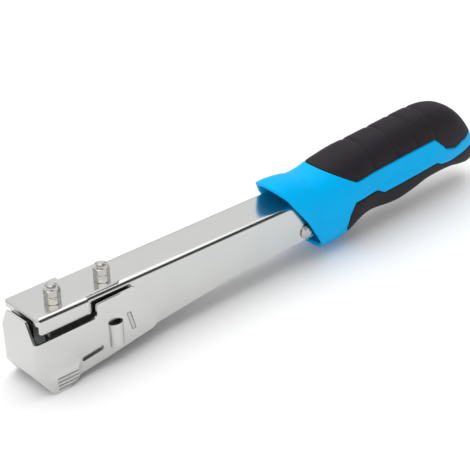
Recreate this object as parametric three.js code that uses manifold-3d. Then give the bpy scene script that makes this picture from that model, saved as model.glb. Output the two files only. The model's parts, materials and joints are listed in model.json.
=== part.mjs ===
// Hammer tacker: a staple gun that is swung like a hammer. Millimetres, +Z up.
// +X runs from the nose to the end of the handle, and -Y is the side with the pivot pin's head.
// The origin is on the striking face, in the middle of the striking plate under the nose.
// The arm, with the handle and the driver, is one rigid unit. The nose unit, with the magazine,
// hangs on the pivot pin and swings up against a spring when the head strikes.

import * as THREE from 'three';
import { mergeVertices } from 'three/addons/utils/BufferGeometryUtils.js';
import Module from 'manifold-3d';

const wasm = await Module();
wasm.setup();

// ---------------------------------------------------------------- driving dimensions

const GAP = 0.3;                  // between pieces that touch, and round what is cut to fit
const SEAT = 0.2;                 // under a piece that rests on another

// Whole tool
const STRIKE_TO_PIVOT = 176.7;    // origin to the pivot pin, along X
const PIVOT_HEIGHT = 22.5;        // pivot pin above the striking face
const ARM_TILT = 0.8;             // degrees that the arm falls towards the handle
const NOSE_FRONT = -18;           // front face of the nose

// Arm channel, in arm axes: u from the pivot pin towards the handle, w upwards
const ARM_WIDTH = 25.9;
const HEAD = -STRIKE_TO_PIVOT;      // the origin's place along the arm: pieces in the head are placed from it
const ARM_WALL = 1.3;
const ARM_BEND = 2.6;             // outer radius of its two long bends
const ARM_TOP = 20.5;
const ARM_FRONT = HEAD - 13.1;
const TANG_END = 104;             // end of the tang inside the handle
const TANG_LOW = 8;
const WALL_FRONT = HEAD + 48.2;        // where the full side walls start
const TAB_LOW = 10.6;             // lower edge of the short walls in the head
const KINK = -60;                 // where the lower edge of the walls turns
const WALL_REAR = 8;

// Top plate
const PLATE_THICK = 1.45;
const PLATE_FRONT = HEAD - 14.9;
const PLATE_BEND = 2.6;            // outer radius of its turned-down edges
const PLATE_REAR = HEAD + 17.2;        // end of the wide part
const PLATE_EDGE = 4.2;           // depth of the turned-down edges, from the plate's top
const TAIL_WIDTH = 23;
const TAIL_END = HEAD + 41.7;

// Bolts and nuts, M5
const BOLT_R = 2.5;
const NUT_FLATS = 8;
const NUT_BORE = BOLT_R + 0.15;
const PLAIN_NUT_HEIGHT = 4.3;
const LOCK_NUT_HEX = 3.8;
const LOCK_NUT_HEIGHT = 5.2;
const BOLT_STICKS_OUT = 1.1;
const BOLT_PLACES = { front: HEAD + 2.1, rear: HEAD + 34.2 };
const BOLT_SIDE = -5;

// Driver
const BLOCK_FRONT = HEAD - 5;
const BLOCK_REAR = HEAD + 39.7;
const BLOCK_LOW = 5;
const BLADE_WIDTH = 11;
const BLADE_THICK = 1;
const BLADE_PLACE = HEAD - 4.4;      // middle of the blade's thickness
const BLADE_HOOK = 2.4;           // how far its top is bent back into the block
const BLADE_TOP = 15;
const BLADE_TIP = 7.4 - PIVOT_HEIGHT;

// Nose housing
const SHEET = 1.3;
const NOSE_ROOM = 2.05;           // between the arm's side and the housing's
const NOSE_WIDTH = ARM_WIDTH + 2 * (NOSE_ROOM + SHEET);
const PLATE_WIDTH = NOSE_WIDTH - 0.6;
const NOSE_BEND = 2.9;            // outer radius of the two front corners
const FRONT_TOP = PIVOT_HEIGHT + 22.1;           // top of the front face
const FRONT_LOW = 11.5;           // its lower edge, above the feet
const EXIT_FRONT = 11.1;          // striking plate's front edge, behind the front face
const EXIT_LENGTH = 13.8;
const NOTCH_BOTTOM = PIVOT_HEIGHT + 10.7;
const NOTCH_REAR = 40;            // behind the front face
const CHEEK_TOP = PIVOT_HEIGHT + 18.7;
const FOOT_FLARE = 1.6;

// Magazine, in magazine axes: s backwards along it, n upwards
const MAG_FRONT = -0.5;
const MAG_LIFT = 1.9;             // its front lower corner above the striking face
const PIN_IN_MAG = 2.43;          // pin's middle above the magazine's lower edge
// Degrees that it rises backwards, so that the pin goes through it at that height.
const MAG_TILT = THREE.MathUtils.radToDeg(Math.atan2(PIVOT_HEIGHT - MAG_LIFT, STRIKE_TO_PIVOT - MAG_FRONT)
  - Math.asin(PIN_IN_MAG / Math.hypot(PIVOT_HEIGHT - MAG_LIFT, STRIKE_TO_PIVOT - MAG_FRONT)));
const MAG_LENGTH = STRIKE_TO_PIVOT + 7.8;
const MAG_WIDTH = 15.2;
const MAG_WALL = 1;
const MAG_HEIGHT = 10;
const RAIL_WIDTH = 9;
const RAIL_WALL = 1;
const RAIL_LENGTH = 112;
const RAIL_LOW = 0.6;
const RAIL_HIGH = 7.6;
const ROD_R = 1;
const ROD_HEIGHT = 3.8;
const PUSHER_LENGTH = 14;
const STRIKE_THICK = 1.6;

// Pivot
const PIN_R = 3;
const PIN_HEAD_R = 4.7;
const PIN_HEAD = 1.7;
const RUNNING = 0.08;             // radial clearance of what turns on the pin

// Handle
const GRIP_THICK = 3;
const COLLAR_WALL = 2.4;
const SIDES = 28;                 // corners of a handle section
const SQUARENESS = 2.5;           // exponent of the section's superellipse

// ---------------------------------------------------------------- materials

const steelColour = (roughness) => new THREE.MeshStandardMaterial({ color: 0xd2d2d0, roughness, metalness: 1 });
const chrome = steelColour(0.15);
const steel = steelColour(0.35);
const springSteel = new THREE.MeshStandardMaterial({ color: 0x9a9c9f, roughness: 0.3, metalness: 1 });
const blue = new THREE.MeshStandardMaterial({ color: 0x15a8ec, roughness: 0.35, metalness: 0 });
const black = new THREE.MeshStandardMaterial({ color: 0x2c2a2d, roughness: 0.7, metalness: 0 });
const rubber = new THREE.MeshStandardMaterial({ color: 0x1c1c1c, roughness: 0.85, metalness: 0 });
const nylon = new THREE.MeshStandardMaterial({ color: 0xd9dde0, roughness: 0.5, metalness: 0 });

// ---------------------------------------------------------------- solids

// A closed geometry as a manifold solid.
function solid(geometry) {
  const bare = geometry.clone();
  bare.deleteAttribute('normal');
  bare.deleteAttribute('uv');
  const merged = mergeVertices(bare, 1e-5);
  return new wasm.Manifold(new wasm.Mesh({
    numProp: 3,
    vertProperties: new Float32Array(merged.attributes.position.array),
    triVerts: new Uint32Array(merged.index.array),
  }));
}

// A manifold solid as a geometry again.
function geometryOf(body) {
  const mesh = body.getMesh();
  const geometry = new THREE.BufferGeometry();
  geometry.setAttribute('position', new THREE.BufferAttribute(new Float32Array(mesh.vertProperties), 3));
  geometry.setIndex(new THREE.BufferAttribute(new Uint32Array(mesh.triVerts), 1));
  geometry.computeVertexNormals();
  return geometry;
}

function addPart(group, name, body, material) {
  const mesh = new THREE.Mesh(geometryOf(body), material);
  mesh.name = name;
  group.add(mesh);
}

const joined = (bodies) => bodies.reduce((whole, body) => whole.add(body));
const cut = (body, tools) => tools.reduce((rest, tool) => rest.subtract(tool), body);

// A closed outline. Each point is [x, y] or [x, y, radius of its rounded corner].
function outline(points, steps = 5) {
  const shape = [];
  points.forEach(([x, y, radius = 0], i) => {
    const corner = new THREE.Vector2(x, y);
    const before = new THREE.Vector2(...points.at(i - 1)).sub(corner).normalize();
    const after = new THREE.Vector2(...points[(i + 1) % points.length]).sub(corner).normalize();
    if (radius === 0) {
      shape.push(corner);
      return;
    }
    const half = Math.acos(THREE.MathUtils.clamp(before.dot(after), -1, 1)) / 2;
    const reach = radius / Math.tan(half);
    const start = corner.clone().addScaledVector(before, reach);
    const end = corner.clone().addScaledVector(after, reach);
    const centre = corner.clone().addScaledVector(before.clone().add(after).normalize(), radius / Math.sin(half));
    const from = start.sub(centre).angle();
    let sweep = end.sub(centre).angle() - from;
    sweep -= Math.round(sweep / (2 * Math.PI)) * 2 * Math.PI;
    for (let k = 0; k <= steps; k += 1) {
      const angle = from + (sweep * k) / steps;
      shape.push(new THREE.Vector2(centre.x + radius * Math.cos(angle), centre.y + radius * Math.sin(angle)));
    }
  });
  return new THREE.Shape(shape);
}

// A side view outline (along, up) carried across the tool, centred on y.
function sidePrism(points, width, y = 0) {
  const geometry = new THREE.ExtrudeGeometry(outline(points), { depth: width, bevelEnabled: false });
  geometry.rotateX(Math.PI / 2);
  geometry.translate(0, y + width / 2, 0);
  return solid(geometry);
}

// A plan outline (along, across) carried upwards from low to high.
function planPrism(points, low, high) {
  const geometry = new THREE.ExtrudeGeometry(outline(points), { depth: high - low, bevelEnabled: false });
  geometry.translate(0, 0, low);
  return solid(geometry);
}

// A cross-section (across, up) carried along the tool from one end to the other.
function endPrism(points, from, to) {
  const geometry = new THREE.ExtrudeGeometry(outline(points), { depth: to - from, bevelEnabled: false });
  geometry.rotateX(Math.PI / 2);
  geometry.rotateZ(Math.PI / 2);
  geometry.translate(from, 0, 0);
  return solid(geometry);
}

function block(x0, x1, y0, y1, z0, z1) {
  const geometry = new THREE.BoxGeometry(x1 - x0, y1 - y0, z1 - z0);
  geometry.translate((x0 + x1) / 2, (y0 + y1) / 2, (z0 + z1) / 2);
  return solid(geometry);
}

// A round bar along 'x', 'y' or 'z', from one end to the other, centred on the two places given.
function bar(axis, radius, from, to, a, b, segments = 32) {
  const geometry = new THREE.CylinderGeometry(radius, radius, to - from, segments);
  const middle = (from + to) / 2;
  if (axis === 'x') geometry.rotateZ(-Math.PI / 2).translate(middle, a, b);
  if (axis === 'y') geometry.translate(a, middle, b);
  if (axis === 'z') geometry.rotateX(Math.PI / 2).translate(a, b, middle);
  return solid(geometry);
}

// A profile (radius, height) turned round +Z at x, y.
function turned(profile, x, y, segments = 32) {
  const geometry = new THREE.LatheGeometry(profile.map(([r, z]) => new THREE.Vector2(r, z)), segments);
  geometry.rotateX(Math.PI / 2);
  geometry.translate(x, y, 0);
  return solid(geometry);
}

// A six-sided bar along Z.
const hexBar = (flats, low, high, x, y) => bar('z', flats / Math.sqrt(3), low, high, x, y, 6);

// A straight spring along Z with closed ends: wire carried along a helix.
class SpringCurve extends THREE.Curve {
  constructor(radius, low, high, turns, dead) {
    super();
    Object.assign(this, { radius, low, high, turns, dead });
  }

  getPoint(t, target = new THREE.Vector3()) {
    const angle = t * this.turns * 2 * Math.PI;
    const live = THREE.MathUtils.clamp((t * this.turns - this.dead) / (this.turns - 2 * this.dead), 0, 1);
    return target.set(this.radius * Math.cos(angle), this.radius * Math.sin(angle),
      THREE.MathUtils.lerp(this.low, this.high, live) + (t - 0.5) * this.dead);
  }
}

function spring(radius, wire, low, high, turns, stepsPerTurn) {
  const section = new THREE.Shape();
  section.absarc(0, 0, wire / 2, 0, 2 * Math.PI);
  const lift = wire / 2 + 0.5;
  const path = new SpringCurve(radius, low + lift, high - lift, turns, 0.8);
  const geometry = new THREE.ExtrudeGeometry(section, {
    steps: Math.round(turns * stepsPerTurn), curveSegments: 3, extrudePath: path, bevelEnabled: false,
  });
  return solid(geometry);
}

// An inverted U carried along the tool: outer width, wall, outer bend radius, lower and upper edge.
function invertedU(width, wall, bend, low, high, from, to) {
  const half = width / 2;
  const inner = Math.max(bend - wall, 0);
  const outside = endPrism([[-half, low], [half, low], [half, high, bend], [-half, high, bend]], from, to);
  const inside = endPrism([[-half + wall, low - 1], [half - wall, low - 1],
    [half - wall, high - wall, inner], [-half + wall, high - wall, inner]], from - 1, to + 1);
  return outside.subtract(inside);
}

// ---------------------------------------------------------------- arm unit

function makeArmChannel() {
  const slope = (-15.9 + 8) / (WALL_FRONT - KINK);
  const wallLow = (u) => -8 + slope * (u - KINK);
  const side = sidePrism([
    [ARM_FRONT, ARM_TOP + 1], [ARM_FRONT, TAB_LOW, 2.5], [WALL_FRONT, TAB_LOW, 0.8], [WALL_FRONT, wallLow(WALL_FRONT), 1.5],
    [KINK, wallLow(KINK), 12], [WALL_REAR, -4.9, 3], [WALL_REAR + 6, TANG_LOW, 2], [TANG_END, TANG_LOW], [TANG_END, ARM_TOP + 1],
  ], ARM_WIDTH + 2);
  const shell = invertedU(ARM_WIDTH, ARM_WALL, ARM_BEND, -25, ARM_TOP, ARM_FRONT, TANG_END).intersect(side);
  const holes = Object.values(BOLT_PLACES).map((u) => bar('z', BOLT_R + GAP, 0, 30, u, BOLT_SIDE, 20));
  const pinHole = bar('y', PIN_R + 0.1, -20, 20, 0, 0);
  const screwHoles = SCREW_PLACES.map((u) => bar('z', SCREW_R + GAP, 15, 25, u, 0, 16));
  return cut(shell, [...holes, pinHole, ...screwHoles]);
}

function makeTopPlate() {
  const low = ARM_TOP + SEAT;
  const high = low + PLATE_THICK;
  const edgeLow = high - PLATE_EDGE;
  const half = PLATE_WIDTH / 2;
  const cap = endPrism([[-half, edgeLow], [half, edgeLow], [half, high, PLATE_BEND], [-half, high, PLATE_BEND]], PLATE_FRONT, PLATE_REAR)
    .intersect(planPrism([[PLATE_FRONT, -half, PLATE_BEND], [PLATE_REAR, -half], [PLATE_REAR, half], [PLATE_FRONT, half, PLATE_BEND]], 0, 40))
    .intersect(sidePrism([[PLATE_FRONT, edgeLow], [PLATE_REAR, edgeLow, 1], [PLATE_REAR, high],
      [PLATE_FRONT, high, PLATE_BEND]], 40));
  const hollowHalf = half - PLATE_THICK;
  const hollow = endPrism([[-hollowHalf, edgeLow - 1], [hollowHalf, edgeLow - 1], [hollowHalf, low, PLATE_BEND - PLATE_THICK],
    [-hollowHalf, low, PLATE_BEND - PLATE_THICK]], PLATE_FRONT + PLATE_THICK, PLATE_REAR + 1);
  const tail = planPrism([[PLATE_REAR - 4, -TAIL_WIDTH / 2], [TAIL_END, -TAIL_WIDTH / 2, 2],
    [TAIL_END, TAIL_WIDTH / 2, 2], [PLATE_REAR - 4, TAIL_WIDTH / 2]], low, high);
  const holes = Object.values(BOLT_PLACES).map((u) => bar('z', BOLT_R + GAP, low - 1, high + 1, u, BOLT_SIDE, 20));
  return cut(cap.subtract(hollow).add(tail), holes);
}

const NUT_SEAT = ARM_TOP + SEAT + PLATE_THICK + 0.1;
const LOCK_NUT_LOW = NUT_SEAT + PLAIN_NUT_HEIGHT + 0.1;
const HEAD_POCKET = BLOCK_LOW + 4.6;

function makeDriverBlock() {
  const half = ARM_WIDTH / 2 - ARM_WALL - 1.1;
  const body = sidePrism([[BLOCK_FRONT, BLOCK_LOW, 1], [BLOCK_REAR, BLOCK_LOW, 3], [BLOCK_REAR, ARM_TOP - ARM_WALL - GAP, 1],
    [BLOCK_FRONT, ARM_TOP - ARM_WALL - GAP, 1]], 2 * half);
  const wide = BLADE_WIDTH / 2 + GAP;
  const back = BLADE_PLACE + BLADE_THICK / 2;
  const slot = block(BLOCK_FRONT - 1, back + GAP, -wide, wide, BLOCK_LOW - 1, BLADE_TOP + GAP)
    .add(block(BLOCK_FRONT - 1, back + BLADE_HOOK - BLADE_THICK + GAP, -wide, wide, BLADE_TOP - BLADE_THICK - GAP, BLADE_TOP + GAP));
  const bores = Object.values(BOLT_PLACES).map((u) => bar('z', BOLT_R + GAP, BLOCK_LOW - 1, 30, u, BOLT_SIDE, 20));
  const pockets = Object.values(BOLT_PLACES).map((u) => bar('z', 3.8, BLOCK_LOW - 1, HEAD_POCKET, u, BOLT_SIDE, 24));
  return cut(body, [slot, ...bores, ...pockets]);
}

function makeDriverBlade() {
  const front = BLADE_PLACE - BLADE_THICK / 2;
  return sidePrism([[front, BLADE_TIP], [front + BLADE_THICK, BLADE_TIP], [front + BLADE_THICK, BLADE_TOP - BLADE_THICK, 0.5],
    [front + BLADE_HOOK, BLADE_TOP - BLADE_THICK], [front + BLADE_HOOK, BLADE_TOP], [front, BLADE_TOP, 1.5]], BLADE_WIDTH);
}

// A socket-headed bolt, head down in the driver block.
function makeDriverBolt(u) {
  const top = LOCK_NUT_LOW + LOCK_NUT_HEIGHT + BOLT_STICKS_OUT;
  const headTop = HEAD_POCKET - 0.1;
  const body = turned([[0, BLOCK_LOW + 0.1], [3.4, BLOCK_LOW + 0.1], [3.4, headTop], [BOLT_R, headTop],
    [BOLT_R, top - 0.7], [BOLT_R - 0.7, top], [0, top]], u, BOLT_SIDE, 24);
  return body.subtract(hexBar(3, BLOCK_LOW - 1, BLOCK_LOW + 2.2, u, BOLT_SIDE));
}

function makePlainNut(u) {
  const rounded = turned([[0, NUT_SEAT], [NUT_FLATS / 2 + 0.1, NUT_SEAT], [NUT_FLATS / 2 + 0.7, NUT_SEAT + 0.45],
    [NUT_FLATS / 2 + 0.7, NUT_SEAT + PLAIN_NUT_HEIGHT - 0.45], [NUT_FLATS / 2 + 0.1, NUT_SEAT + PLAIN_NUT_HEIGHT],
    [0, NUT_SEAT + PLAIN_NUT_HEIGHT]], u, BOLT_SIDE, 24);
  return hexBar(NUT_FLATS, NUT_SEAT, NUT_SEAT + PLAIN_NUT_HEIGHT, u, BOLT_SIDE).intersect(rounded)
    .subtract(bar('z', NUT_BORE, NUT_SEAT - 1, NUT_SEAT + PLAIN_NUT_HEIGHT + 1, u, BOLT_SIDE, 24));
}

const RING_R = 3.2;
const RING_LOW = LOCK_NUT_LOW + LOCK_NUT_HEX - 0.4;

function makeLockNut(u) {
  const top = LOCK_NUT_LOW + LOCK_NUT_HEIGHT;
  const hexTop = LOCK_NUT_LOW + LOCK_NUT_HEX;
  const rounded = turned([[0, LOCK_NUT_LOW], [NUT_FLATS / 2 + 0.1, LOCK_NUT_LOW], [NUT_FLATS / 2 + 0.7, LOCK_NUT_LOW + 0.45],
    [NUT_FLATS / 2 + 0.7, hexTop - 0.5], [NUT_FLATS / 2 - 0.05, hexTop], [NUT_FLATS / 2 - 0.35, top], [0, top]],
  u, BOLT_SIDE, 24);
  return hexBar(NUT_FLATS + 0.01, LOCK_NUT_LOW, top, u, BOLT_SIDE).intersect(rounded)
    .subtract(bar('z', NUT_BORE, LOCK_NUT_LOW - 1, top + 1, u, BOLT_SIDE, 24))
    .subtract(bar('z', RING_R, RING_LOW, top + 1, u, BOLT_SIDE, 24));
}

function makeNylonRing(u) {
  const top = LOCK_NUT_LOW + LOCK_NUT_HEIGHT - 0.3;
  return bar('z', RING_R - 0.1, RING_LOW + 0.1, top, u, BOLT_SIDE, 20)
    .subtract(bar('z', NUT_BORE - 0.05, RING_LOW - 1, top + 1, u, BOLT_SIDE, 20));
}

const ARM_HALF = ARM_WIDTH / 2;
const PIN_END = ARM_HALF + 2.6;

function makePivotPin() {
  const profile = [[0, -ARM_HALF - SEAT - PIN_HEAD], [PIN_HEAD_R * 0.6, -ARM_HALF - SEAT - PIN_HEAD + 0.1],
    [PIN_HEAD_R, -ARM_HALF - SEAT - PIN_HEAD * 0.45], [PIN_HEAD_R, -ARM_HALF - SEAT], [PIN_R, -ARM_HALF - SEAT],
    [PIN_R, PIN_END - 1.7], [PIN_R - 0.6, PIN_END - 1.7], [PIN_R - 0.6, PIN_END - 0.9], [PIN_R, PIN_END - 0.9],
    [PIN_R, PIN_END - 0.3], [PIN_R - 0.3, PIN_END], [0, PIN_END]];
  const geometry = new THREE.LatheGeometry(profile.map(([r, y]) => new THREE.Vector2(r, y)), 48);
  return solid(geometry);
}

// An open ring that snaps into the groove at the pin's far end.
function makePinClip() {
  const low = PIN_END - 1.6;
  const ring = bar('y', 5, low, low + 0.6, 0, 0, 24).subtract(bar('y', PIN_R - 0.5, low - 1, low + 1.6, 0, 0, 24));
  return ring.subtract(block(-1.9, 1.9, low - 1, low + 2, -8, 0));
}

function makePinWasher() {
  const low = ARM_HALF + 0.1;
  return bar('y', 5.2, low, low + 0.6, 0, 0, 28).subtract(bar('y', PIN_R + 0.15, low - 1, low + 1.6, 0, 0, 28));
}

// ---------------------------------------------------------------- handle

const LOFT_STATIONS = [-36, -26, -16, -6, 4, 13, 22, 30, 37, 43, 49, 56, 66, 80, 94, 107, 118, 128, 137.5, 145.5, 151, 154];

// Smooth curve through the given points, read at a place along the handle.
function profileCurve(points) {
  return (u) => {
    const last = points.length - 1;
    const i = THREE.MathUtils.clamp(points.findIndex(([x]) => x > u) - 1, 0, last - 1);
    const k = u >= points[last][0] ? last - 1 : i;
    const [x0, y0] = points[k];
    const [x1, y1] = points[k + 1];
    const slopeAt = (j) => {
      const a = points[Math.max(j - 1, 0)];
      const b = points[Math.min(j + 1, last)];
      return (b[1] - a[1]) / (b[0] - a[0]);
    };
    const h = x1 - x0;
    const t = (u - x0) / h;
    return y0 * (1 + 2 * t) * (1 - t) ** 2 + slopeAt(k) * h * t * (1 - t) ** 2
      + y1 * t * t * (3 - 2 * t) + slopeAt(k + 1) * h * t * t * (t - 1);
  };
}

const handleTop = profileCurve([[-36, 31], [-24, 32.6], [-14, 33.6], [-4, 32.6], [6, 30.9], [14, 31.6], [25, 34.2], [40, 36.5],
  [60, 38.2], [80, 39.9], [95, 41], [108, 41.4], [118, 40.6], [128, 37.2], [137.5, 29.8], [145.5, 20], [151, 11], [154, 3]]);
const handleBottom = profileCurve([[-36, -15], [0, -18.6], [16, -19.8], [25, -19.8], [31, -18.8], [37, -16.4], [43, -13.2], [50, -11.2],
  [58, -10.4], [73, -11.9], [81, -12.1], [93, -10], [105, -7], [118, -6], [130, -6.3], [140, -8], [148, -8.6], [154, -5]]);
// Half width, as what it stands out beyond the side of the arm.
const handleSide = profileCurve([[-36, 4.25], [-10, 5.05], [15, 5.65], [40, 5.85], [52, 4.65], [80, 4.25], [110, 3.85],
  [130, 2.45], [143, -0.35], [151, -3.95], [154, -7.95]]);
const handleHalfWidth = (u) => ARM_HALF + handleSide(u);

// A closed tube through superellipse sections, drawn in by the inset, over the stations given.
function handleLoft(stations, inset) {
  const positions = [];
  const index = [];
  stations.forEach((u) => {
    const middle = (handleTop(u) + handleBottom(u)) / 2;
    const halfHeight = (handleTop(u) - handleBottom(u)) / 2 - inset;
    const halfWidth = handleHalfWidth(u) - inset;
    for (let k = 0; k < SIDES; k += 1) {
      const angle = (k / SIDES) * 2 * Math.PI;
      const round = (value) => Math.sign(value) * Math.abs(value) ** (2 / SQUARENESS);
      positions.push(u, halfWidth * round(Math.cos(angle)), middle + halfHeight * round(Math.sin(angle)));
    }
  });
  const rings = stations.length;
  positions.push(stations[0], 0, (handleTop(stations[0]) + handleBottom(stations[0])) / 2);
  positions.push(stations.at(-1), 0, (handleTop(stations.at(-1)) + handleBottom(stations.at(-1))) / 2);
  const first = rings * SIDES;
  for (let k = 0; k < SIDES; k += 1) {
    const next = (k + 1) % SIDES;
    for (let r = 0; r < rings - 1; r += 1) {
      const a = r * SIDES + k;
      const b = r * SIDES + next;
      index.push(a, b, b + SIDES, a, b + SIDES, a + SIDES);
    }
    index.push(first, next, k);
    index.push(first + 1, (rings - 1) * SIDES + k, (rings - 1) * SIDES + next);
  }
  const geometry = new THREE.BufferGeometry();
  geometry.setAttribute('position', new THREE.Float32BufferAttribute(positions, 3));
  geometry.setIndex(index);
  return solid(geometry);
}

// Side view regions of the moulding: behind the raked front rim, the upper grip and the lower grip.
const RIM = [[-21, 45], [-20.5, 33], [-18, 30], [-14.5, 26], [-10.7, 19.7], [-6.4, 14], [-0.5, 6], [3, 0], [9, -9], [14, -16], [18, -24]];
const UPPER_GRIP = [[13, 60], [14, 34], [19.5, 31.4], [29.5, 26.2], [36.5, 20.6, 1.5], [106, 24.6, 2], [117.5, 14, 2], [126, 11.8, 3],
  [139, 15], [170, 24], [170, 60]];
const LOWER_GRIP = [[42, -40], [39, -16], [29, -8, 3], [30.5, 1, 3], [35, 8.3, 2], [55, 9, 2], [61.5, 4.9, 2], [109, 7.9, 2],
  [114.5, 4.9, 2], [123, 4, 2], [137, 6.5], [170, 12], [170, -40]];

// An outline drawn in by a distance: each edge moves inwards and the corners follow.
function drawnIn(points, by) {
  const area = points.reduce((sum, [x, y], i) => {
    const [px, py] = points.at(i - 1);
    return sum + px * y - x * py;
  }, 0);
  const side = Math.sign(area);
  return points.map(([x, y, radius = 0], i) => {
    const [px, py] = points.at(i - 1);
    const [nx, ny] = points[(i + 1) % points.length];
    const a = new THREE.Vector2(x - px, y - py).normalize();
    const b = new THREE.Vector2(nx - x, ny - y).normalize();
    const reach = by / (1 + a.dot(b));
    return [x + side * reach * (-a.y - b.y), y + side * reach * (a.x + b.x), radius];
  });
}

const HANDLE_OUTER = handleLoft(LOFT_STATIONS, 0);
const HANDLE_INNER = handleLoft(LOFT_STATIONS.filter((u) => u < 152), GRIP_THICK);
const HANDLE_INNER_CLEAR = handleLoft(LOFT_STATIONS.filter((u) => u < 152), GRIP_THICK - GAP);

function makeHandleBody() {
  const rim = sidePrism([...RIM, [170, -24], [170, 45]], 60);
  const stripe = cut(HANDLE_OUTER, [sidePrism(UPPER_GRIP, 60), sidePrism(LOWER_GRIP, 60)]);
  const body = joined([stripe, HANDLE_INNER]).intersect(rim);
  const mouth = handleLoft(LOFT_STATIONS.filter((u) => u < 30), COLLAR_WALL);
  const throat = endPrism([[-ARM_HALF - 1, -10, 3], [ARM_HALF + 1, -10, 3], [ARM_HALF + 1, 23.5, 3], [-ARM_HALF - 1, 23.5, 3]], 20, 32);
  const pocket = block(20, TANG_END + 1, -ARM_HALF - GAP, ARM_HALF + GAP, TANG_LOW - GAP, ARM_TOP + GAP);
  const screwBores = SCREW_PLACES.map((u) => bar('z', SCREW_R + 0.15, -30, TANG_LOW + 1, u, 0, 16));
  const headBores = SCREW_PLACES.map((u) => bar('z', SCREW_HEAD_R + 0.3, -30, SCREW_HEAD_TOP, u, 0, 20));
  return cut(body, [mouth, throat, pocket, ...screwBores, ...headBores]);
}

function makeUpperGrip() {
  const grooves = GRIP_GROOVES.map((u) => bar('y', 1.6, -30, 30, u, handleTop(u) + 0.9, 16));
  return cut(HANDLE_OUTER.intersect(sidePrism(drawnIn(UPPER_GRIP, GAP), 60)), [HANDLE_INNER_CLEAR, ...grooves]);
}

function makeLowerGrip() {
  return HANDLE_OUTER.intersect(sidePrism(drawnIn(LOWER_GRIP, GAP), 60)).subtract(HANDLE_INNER_CLEAR);
}

const GRIP_GROOVES = [51, 71, 89, 105];
const SCREW_PLACES = [62, 92];
const SCREW_R = 1.8;
const SCREW_HEAD_R = 3.4;
const SCREW_HEAD_TOP = -2;
const POST_R = 2.2;
const SPRING_PLACE = -77;

// A screw that comes up through the handle body into the tang.
function makeHandleScrew(u) {
  const top = ARM_TOP - 0.1;
  return turned([[0, SCREW_HEAD_TOP - 2.4], [SCREW_HEAD_R, SCREW_HEAD_TOP - 2], [SCREW_HEAD_R, SCREW_HEAD_TOP - 0.1],
    [SCREW_R, SCREW_HEAD_TOP - 0.1], [SCREW_R, top - 1], [SCREW_R - 0.6, top], [0, top]], u, 0, 20);
}

// The post welded under the arm that keeps the return spring in place.
function makeSpringPost() {
  const top = ARM_TOP - ARM_WALL;
  return turned([[0, top - 8], [POST_R - 0.4, top - 8], [POST_R, top - 7], [POST_R, top - 1.4], [4.6, top - 1.4], [4.6, top - SEAT],
    [0, top - SEAT]], SPRING_PLACE, 0, 20);
}

// ---------------------------------------------------------------- nose unit

const NOSE_HALF = NOSE_WIDTH / 2;

function makeNoseHousing() {
  const f = NOSE_FRONT;
  const plan = (half, front, bend, rear) => [[front, -half, bend], [rear, -half], [rear, half], [front, half, bend]];
  const outside = planPrism(plan(NOSE_HALF, f, NOSE_BEND, f + 90), 0, 50);
  const inside = planPrism(plan(NOSE_HALF - SHEET, f + SHEET, NOSE_BEND - SHEET, f + 95), -5, 55);
  const side = sidePrism([...housingFoot(), [f + 77, 11, 3], [f + 79.5, 15, 3], [f + 66, CHEEK_TOP + 0.4, 2],
    [f + NOTCH_REAR, CHEEK_TOP, 1.5], [f + NOTCH_REAR, NOTCH_BOTTOM, 2.5], [f + 3.3, NOTCH_BOTTOM, 1], [f + 3.3, FRONT_TOP],
    [f - 1, FRONT_TOP]], 60);
  const frontCut = (hand) => endPrism([[8, FRONT_TOP + 1], [9.5, FRONT_TOP - 1.5, 2], [14.3, NOTCH_BOTTOM, 2],
    [30, NOTCH_BOTTOM], [30, FRONT_TOP + 1]].map(([y, z]) => [hand * y, z]), f - 2, f + 4);
  const shell = outside.subtract(inside).intersect(side);
  return cut(joined([shell, ...[-1, 1].flatMap((hand) => [footPad(hand), louver(hand)])]), [
    frontCut(-1), frontCut(1), ...[-1, 1].flatMap((hand) => [louverHollow(hand), tabSlot(hand), windowSlot(hand)]),
  ]);
}

// The lower edge of the housing's sides: the feet reach below the front face and slope up behind it.
const housingFoot = () => [[-1, FRONT_LOW], [0, FRONT_LOW], [5.6, 3.2, 3], [9.2, 0, 2], [15.5, 0, 3], [20.5, 2, 3], [24.5, 4.1, 3],
  [28.4, 4.4], [45.6, 6.3]].map(([x, z, radius]) => [NOSE_FRONT + x, z, radius]);

// The pad pressed out of the foot of each side, with grooves along it.
function footPad(hand) {
  const f = NOSE_FRONT;
  const root = NOSE_HALF - SHEET + 0.1;
  const reach = NOSE_HALF + FOOT_FLARE;
  const section = [[root, 0], [reach, 0], [reach, 8.5, 4], [NOSE_HALF, 14], [root, 14]].map(([y, z]) => [hand * y, z]);
  const plan = [[f + 3, hand * root], [f + 3, hand * NOSE_HALF], [f + 8, hand * reach, 1], [f + 23.5, hand * reach, 1],
    [f + 27, hand * NOSE_HALF], [f + 27, hand * root]];
  const pad = endPrism(section, f + 2, f + 30).intersect(planPrism(plan, -1, 20))
    .intersect(sidePrism([...housingFoot(), [f + 45.6, 20], [f - 1, 20]], 60));
  const grooves = [2.4, 4.6, 6.8, 9].map((z) => bar('x', 0.7, f + 10.5, f + 40, hand * (reach + 0.3), z, 12));
  return cut(pad, grooves);
}

// A half-round louver pressed out of each side, open at the top.
const LOUVER = { x: NOSE_FRONT + 51.2, low: 11.5, high: 25.8, r: 4.6 };

function halfTube(hand, radius, low, high) {
  const across = bar('z', radius, low, high, 0, 0, 24).scale([1, 0.8, 1]).translate([LOUVER.x, hand * (NOSE_HALF - 0.5), 0]);
  const y0 = hand > 0 ? NOSE_HALF - SHEET : -NOSE_HALF - 9;
  return across.intersect(block(LOUVER.x - 9, LOUVER.x + 9, y0, y0 + 9 + SHEET, low - 1, high + 1));
}

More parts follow.
